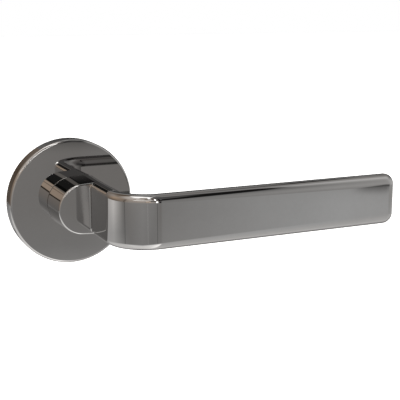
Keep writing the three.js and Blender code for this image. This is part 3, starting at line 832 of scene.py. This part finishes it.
# The studio that the polished metal mirrors. Directions are an azimuth (0 towards the viewer's side, + to the
# right) and an elevation. Each wall is a column of (elevation, brightness, warmth), and the columns blend.
WALLS = [
    (-165, [(-90, 0.5, 0), (-72, 0.15, 0), (-60, 0.3, 0), (-30, 0.4, 0), (-20, 0.28, 0), (-12, 0.24, 0),
            (-10, 0.08, 0.03), (8, 0.06, 0.04), (16, 0.12, 0.05), (24, 0.22, 0.06), (38, 0.2, 0.06),
            (52, 0.08, 0.06), (62, 0.14, 0.06), (80, 0.5, 0.03)]),
    (-145, [(-90, 0.8, 0), (-30, 0.8, 0), (-20, 0.6, 0), (-14, 0.48, 0), (-11.5, 0.52, 0.02),
            (-10, 0.2, 0.05), (8, 0.18, 0.06), (38, 0.38, 0.08), (50, 0.14, 0.08), (60, 0.1, 0.08),
            (80, 0.6, 0.03)]),
    (-118, [(-90, 0.8, 0), (-40, 0.86, 0), (-24, 0.84, 0), (-17, 0.6, 0), (-14, 0.53, 0),
            (-12.3, 0.77, 0.02), (-11.5, 0.8, 0.02), (-10, 0.12, 0.07), (-5, 0.14, 0.09), (3, 0.22, 0.13),
            (14, 0.36, 0.22), (28, 0.42, 0.2), (42, 0.27, 0.1), (60, 0.55, 0.1), (80, 0.7, 0.06)]),
    (-84, [(-90, 0.85, 0), (-30, 0.85, 0), (-20, 0.75, 0), (-14, 0.25, 0), (-11, 0.24, 0.02),
           (-5, 0.3, 0.08), (8, 0.24, 0.1), (28, 0.28, 0.12), (44, 0.6, 0.08), (60, 0.74, 0.1),
           (80, 0.7, 0.06)]),
    (-64, [(-90, 0.9, 0), (-28, 1.0, 0), (-22, 0.55, 0), (-16, 0.27, 0), (-12.5, 0.28, 0.01),
           (-10, 0.36, 0.03), (2, 0.37, 0.06), (14, 0.42, 0.1), (30, 0.5, 0.12), (44, 0.62, 0.1),
           (80, 0.6, 0.05)]),
    (-32, [(-90, 1.0, 0), (-50, 1.0, 0), (-36, 0.9, 0), (-26, 0.4, 0), (-18, 0.28, 0), (-13, 0.34, 0),
           (-5, 0.38, 0.04), (6, 0.44, 0.09), (18, 0.5, 0.12), (30, 0.25, 0.1), (44, 0.3, 0.12),
           (80, 0.5, 0.05)]),
    (-4, [(-90, 1.0, 0), (-50, 1.2, 0), (-28, 1.1, 0), (-23, 0.4, 0), (-20, 0.34, 0), (-15, 0.27, 0),
          (-12, 0.32, 0), (-4, 0.4, 0.05), (4, 0.48, 0.07), (14, 0.4, 0.05), (28, 0.22, 0.05),
          (80, 0.45, 0.03)]),
    (17, [(-90, 1.0, 0), (-60, 1.7, 0), (-28, 1.6, 0), (-23, 0.8, 0), (-20, 0.6, 0), (-17.5, 0.5, 0),
          (-15, 0.29, 0), (-12.5, 0.255, 0.01), (5, 0.23, 0.01), (25, 0.16, 0.01), (45, 0.1, 0),
          (65, 0.12, 0), (82, 0.3, 0)]),
    (22, [(-90, 0.95, 0), (-60, 0.9, 0), (-50, 0.65, 0), (-30, 0.58, 0), (-20, 0.52, 0), (-17.5, 0.48, 0),
          (-15, 0.34, 0), (-12.5, 0.31, 0), (5, 0.28, 0), (25, 0.17, 0), (45, 0.1, 0), (65, 0.12, 0),
          (82, 0.3, 0)]),
    (34, [(-90, 0.95, 0), (-60, 0.67, 0), (-30, 0.56, -0.02), (-11.5, 0.52, -0.02), (-10, 0.36, 0),
          (6, 0.46, 0), (18, 0.38, 0), (34, 0.12, 0), (60, 0.1, 0), (82, 0.25, 0)]),
    (42, [(-90, 0.95, 0), (-60, 0.66, 0), (-30, 0.56, 0), (-12, 0.47, 0), (-10, 0.39, 0), (6, 0.5, 0),
          (18, 0.5, 0), (34, 0.5, 0), (44, 0.38, 0), (50, 0.08, 0), (62, 0.07, 0), (82, 0.25, 0)]),
    (50, [(-90, 0.95, 0), (-60, 0.64, 0), (-15, 0.56, -0.02), (-12, 0.42, -0.01), (-9, 0.42, 0),
          (2, 0.54, -0.01), (30, 0.62, -0.01), (38, 0.78, -0.01), (48, 0.66, 0), (56, 0.24, 0),
          (62, 0.3, 0), (82, 0.25, 0)]),
    (76, [(-90, 0.9, 0), (-40, 0.67, 0), (-15, 0.62, 0), (-12, 0.49, 0), (-9, 0.68, 0), (16, 0.64, 0),
          (28, 0.36, 0), (52, 0.4, 0.01), (64, 0.3, 0.01), (82, 0.25, 0.02)]),
    (108, [(-90, 0.9, 0), (-64, 0.38, 0), (-50, 0.28, 0), (-36, 0.32, 0), (-12, 0.47, 0), (-3, 0.54, 0),
           (6, 0.5, 0), (13, 0.18, 0), (28, 0.12, 0), (42, 0.25, 0), (60, 0.21, 0.01), (82, 0.2, 0.02)]),
    (145, [(-90, 0.7, 0), (-60, 0.22, 0), (-48, 0.12, 0), (-36, 0.14, 0), (-20, 0.2, 0), (-10, 0.12, 0),
           (0, 0.04, 0), (6, 0.03, 0), (16, 0.03, 0), (24, 0.1, 0), (32, 0.25, 0), (60, 0.38, 0),
           (82, 0.27, 0)]),
    (162, [(-90, 0.6, 0), (-60, 0.18, 0), (-40, 0.2, 0), (-25, 0.25, 0), (-9, 0.3, 0), (-3, 0.15, 0),
           (3, 0.1, 0), (8, 0.05, 0), (16, 0.06, 0), (26, 0.3, 0), (38, 0.42, 0), (60, 0.4, 0),
           (82, 0.3, 0)]),
    (180, [(-90, 0.5, 0), (-70, 0.15, 0), (-60, 0.2, 0), (-20, 0.14, 0), (-7, 0.08, 0.02), (14, 0.12, 0),
           (30, 0.22, 0.04), (50, 0.14, 0.04), (82, 0.4, 0.02)]),
]

# Soft panels over the walls: azimuth and elevation of the middle, width and height, lean (degrees of azimuth
# for each of elevation), blur, brightness and warmth.
STUDIO = [
    ("edge of the left wall", -80, 8, 6, 36, 0.1, 4, 0.16, 0.05),
    ("corner of the left wall", -80, -13, 1.4, 8, 0, 0.8, 0.12, 0),
    ("corner of the front wall", 8, -13, 1.2, 10, 0, 0.8, 0.12, 0),
    ("bronze picture", -15, 10.5, 13, 11, 0, 1, 0.72, 0.3),
    ("fold in the picture", -14, 12.4, 2, 5, -1.8, 1, 0.3, 0.12),
    ("picture rail", -8.3, 17, 9, 7.5, -1, 1, 0.01, 0),
    ("shelf", -18.5, 4, 10, 2, 0, 0.8, 0.05, 0.03),
    ("slit by the shelf", -17.25, -12.2, 0.42, 8, 0.03, 0.1, 0.65, 0),
    ("lamp bar", -29, 26, 54, 5, -1.9, 1.5, 1.7, 0.05),
    ("window", -9, 60, 11, 24, 0, 2, 1.9, 0),
    ("window frame", 2, 48, 8, 24, -0.2, 2, 0.08, 0.05),
    ("skylight", -62, 77, 156, 18, 0, 4, 1.9, 0),
    ("lintel", -1, 19, 15, 9, 0, 1.2, 0.03, 0),
    ("black post", 16, 16, 6, 48, 0, 2, 0.015, 0),
    ("foot of the post", 16, 10.5, 8, 9, 0, 1.5, 0.12, 0),
    ("black beam, rising", 31.5, 34, 9, 36, 0.75, 3, 0.012, 0),
    ("black beam, far", 110, 56, 14, 18, -3, 4, 0.03, 0),
    ("dark doorway", 155, 8, 8, 28, 0, 3, 0.04, 0),
    ("roof light", 92, 79, 30, 5, 0, 2, 0.75, 0),
    ("skirting on the right", 90, -11, 106, 2, 0, 1, 0.42, 0),
    ("dark corner on the right", 37.6, -6, 5, 9.8, 0.1, 1.2, 0.13, 0),
    ("strip light, lower", 7.5, 3, 4.5, 15, 0, 1, 4, 0.01),
    ("strip light, upper", 5, 33, 4.5, 15, 0, 1, 4, 0.01),
    ("skirting behind", 155, -10.9, 44, 4.8, 0, 0.8, 0.62, 0),
    ("upper lamp", -38, 40, 26, 6, -1, 2, 1.3, 0.03),
    ("high window", -64, 64, 32, 12, 0, 3, 1.5, 0.02),
]
STUDIO_BRIGHTNESS = 1.4


def tone(level, warmth):
    """A grey, drawn towards bronze by its warmth."""
    return (level + 0.55 * warmth, level, level - 0.45 * warmth)


def make_world():
    """The studio for whatever the metal mirrors, and plain white for the camera."""
    world = bpy.data.worlds.new("studio")
    bpy.context.scene.world = world
    world.use_nodes = True
    tree = world.node_tree
    nodes, links = tree.nodes, tree.links
    nodes.clear()

    def value(operation, *inputs):
        """A maths node on numbers or sockets."""
        node = nodes.new("ShaderNodeMath")
        node.operation = operation
        for socket, given in zip(node.inputs, inputs):
            if isinstance(given, (int, float)):
                socket.default_value = given
            else:
                links.new(given, socket)
        return node.outputs[0]

    def within(distance, half_size, blur):
        """1 inside, 0 outside, with a soft edge."""
        node = nodes.new("ShaderNodeMapRange")
        node.interpolation_type = "SMOOTHSTEP"
        links.new(value("ABSOLUTE", distance), node.inputs["Value"])
        node.inputs["From Min"].default_value = half_size + blur / 2
        node.inputs["From Max"].default_value = half_size - blur / 2
        return node.outputs["Result"]

    def blend(fraction, below, above):
        """From one colour to the other as the fraction rises."""
        node = nodes.new("ShaderNodeMix")
        node.data_type = "RGBA"
        for name, given in (("Factor_Float", fraction), ("A_Color", below), ("B_Color", above)):
            socket = next(i for i in node.inputs if i.identifier == name)
            if isinstance(given, tuple):
                socket.default_value = (*given, 1)
            else:
                links.new(given, socket)
        return next(o for o in node.outputs if o.identifier == "Result_Color")

    def ramp(position, stops):
        """One wall's colours from straight down to straight up."""
        node = nodes.new("ShaderNodeValToRGB")
        links.new(position, node.inputs["Fac"])
        elements = node.color_ramp.elements
        while len(elements) < len(stops):
            elements.new(0.5)
        for element, (degrees, level, warmth) in zip(elements, stops):
            element.position = (degrees + 90) / 180
            element.color = (*tone(level, warmth), 1)
        return node.outputs["Color"]

    direction = nodes.new("ShaderNodeTexCoord")
    parts = nodes.new("ShaderNodeSeparateXYZ")
    links.new(direction.outputs["Generated"], parts.inputs[0])
    x, y, z = parts.outputs
    azimuth = value("DEGREES", value("ARCTAN2", x, value("MULTIPLY", y, -1)))
    elevation = value("DEGREES", value("ARCSINE", z))
    height = value("DIVIDE", value("ADD", elevation, 90), 180)

    columns = [(across, ramp(height, stops)) for across, stops in WALLS]
    last, colour = columns[0]
    for across, column in columns[1:]:
        share = nodes.new("ShaderNodeMapRange")
        links.new(azimuth, share.inputs["Value"])
        share.inputs["From Min"].default_value = last
        share.inputs["From Max"].default_value = across
        colour = blend(share.outputs["Result"], colour, column)
        last = across
    for name, across, up, width, tall, lean, blur, level, warmth in STUDIO:
        rise = value("SUBTRACT", elevation, up)
        sideways = value("SUBTRACT", value("SUBTRACT", azimuth, across), value("MULTIPLY", rise, lean))
        mask = value("MULTIPLY", within(sideways, width / 2, blur), within(rise, tall / 2, blur))
        colour = blend(mask, colour, tone(level, warmth))

    light = nodes.new("ShaderNodeBackground")
    links.new(colour, light.inputs["Color"])
    light.inputs["Strength"].default_value = STUDIO_BRIGHTNESS
    seen = nodes.new("ShaderNodeBackground")
    seen.inputs["Color"].default_value = (1, 1, 1, 1)
    path = nodes.new("ShaderNodeLightPath")
    mix = nodes.new("ShaderNodeMixShader")
    links.new(path.outputs["Is Camera Ray"], mix.inputs[0])
    links.new(light.outputs[0], mix.inputs[1])
    links.new(seen.outputs[0], mix.inputs[2])
    output = nodes.new("ShaderNodeOutputWorld")
    links.new(mix.outputs[0], output.inputs["Surface"])


FLOOR_HEIGHT = -0.6  # metres
FLOOR_REACH = 20


def make_floor():
    """A plain pale floor that glows a little, so it is seen as white paper."""
    paper = bpy.data.materials.new("floor_paper")
    paper.use_nodes = True
    nodes, links = paper.node_tree.nodes, paper.node_tree.links
    shader = nodes["Principled BSDF"]
    grain = nodes.new("ShaderNodeTexNoise")
    grain.inputs["Scale"].default_value = 40
    tint = nodes.new("ShaderNodeMapRange")
    tint.inputs["To Min"].default_value = 0.88
    tint.inputs["To Max"].default_value = 0.92
    links.new(grain.outputs["Fac"], tint.inputs["Value"])
    links.new(tint.outputs["Result"], shader.inputs["Base Color"])
    shader.inputs["Roughness"].default_value = 0.9
    shader.inputs["Emission Color"].default_value = (1, 1, 1, 1)
    shader.inputs["Emission Strength"].default_value = 1
    bm = bmesh.new()
    bmesh.ops.create_grid(bm, x_segments=4, y_segments=4, size=FLOOR_REACH)
    mesh = bpy.data.meshes.new("floor")
    bm.to_mesh(mesh)
    bm.free()
    mesh.materials.append(paper)
    floor = bpy.data.objects.new("floor", mesh)
    floor.location = (0, 0, FLOOR_HEIGHT)
    floor.visible_glossy = False
    bpy.context.scene.collection.objects.link(floor)


def make_softbox():
    """A large overhead light for the pieces that aren't polished."""
    light = bpy.data.lights.new("softbox", "AREA")
    light.shape = "RECTANGLE"
    light.size = 1.2
    light.size_y = 0.8
    light.energy = 6
    softbox = bpy.data.objects.new("softbox", light)
    softbox.location = (-0.2, -0.5, 1.1)
    softbox.rotation_euler = (-softbox.location).to_track_quat("-Z", "Y").to_euler()
    softbox.visible_glossy = False
    softbox.visible_camera = False
    bpy.context.scene.collection.objects.link(softbox)


make_camera()
make_world()
make_floor()
make_softbox()
bpy.context.scene.view_settings.view_transform = "Standard"


# ---------------------------------------------------------------- the pieces, on the frame

def finish(piece, body, node, slot):
    """Give a piece its material and its place in the frame."""
    piece.data.materials.clear()
    piece.data.materials.append(MATERIALS[slot])
    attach(piece, body)
    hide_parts(node)


finish(make_lever(), "lever", "lever_handle", "dark_nickel")
finish(make_spindle(), "lever", "spindle", "zinc_plate")
finish(make_grub_screw(), "lever", "grub_screw", "black_oxide")
finish(make_drive_plate(), "lever", "drive_plate", "zinc_plate")
finish(make_wave_washer(), "lever", "wave_washer", "spring_steel")
finish(make_retaining_ring(), "lever", "retaining_ring", "spring_steel")

finish(make_cover(), "rose", "rose_cover", "dark_nickel")
finish(make_base(), "rose", "rose_base", "zinc_casting")
finish(make_snap_ring(), "rose", "cover_snap_ring", "spring_steel")
finish(make_cage_plate(), "rose", "cage_plate", "zinc_plate")
for node, title in (("neck_bush", "bearing_bush"), ("thrust_washer", "shoulder_washer")):
    low, high = cad(node)
    ring = to_object(title, tube(JOURNAL_RADIUS + JOURNAL_PLAY, high.x, low.y, high.y, 0.12, 160))
    finish(ring, "rose", node, "nylon")
for number, direction in enumerate(CAGE_SCREW_DIRECTIONS, 1):
    node = f"cage_screw_{number}"
    finish(make_cage_screw(node, direction), "rose", node, "zinc_plate")
for side, direction in SLEEVE_DIRECTIONS.items():
    node = f"bolt_sleeve_{side}"
    finish(make_sleeve(node, direction), "rose", node, "zinc_plate")
for side, direction in WOOD_SCREW_DIRECTIONS.items():
    node = f"wood_screw_{side}"
    finish(make_wood_screw(node, direction), "rose", node, "yellow_zinc")

spring = make_spring()
spring.data.materials.clear()
spring.data.materials.append(MATERIALS["spring_steel"])
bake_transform(spring)
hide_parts("return_spring")
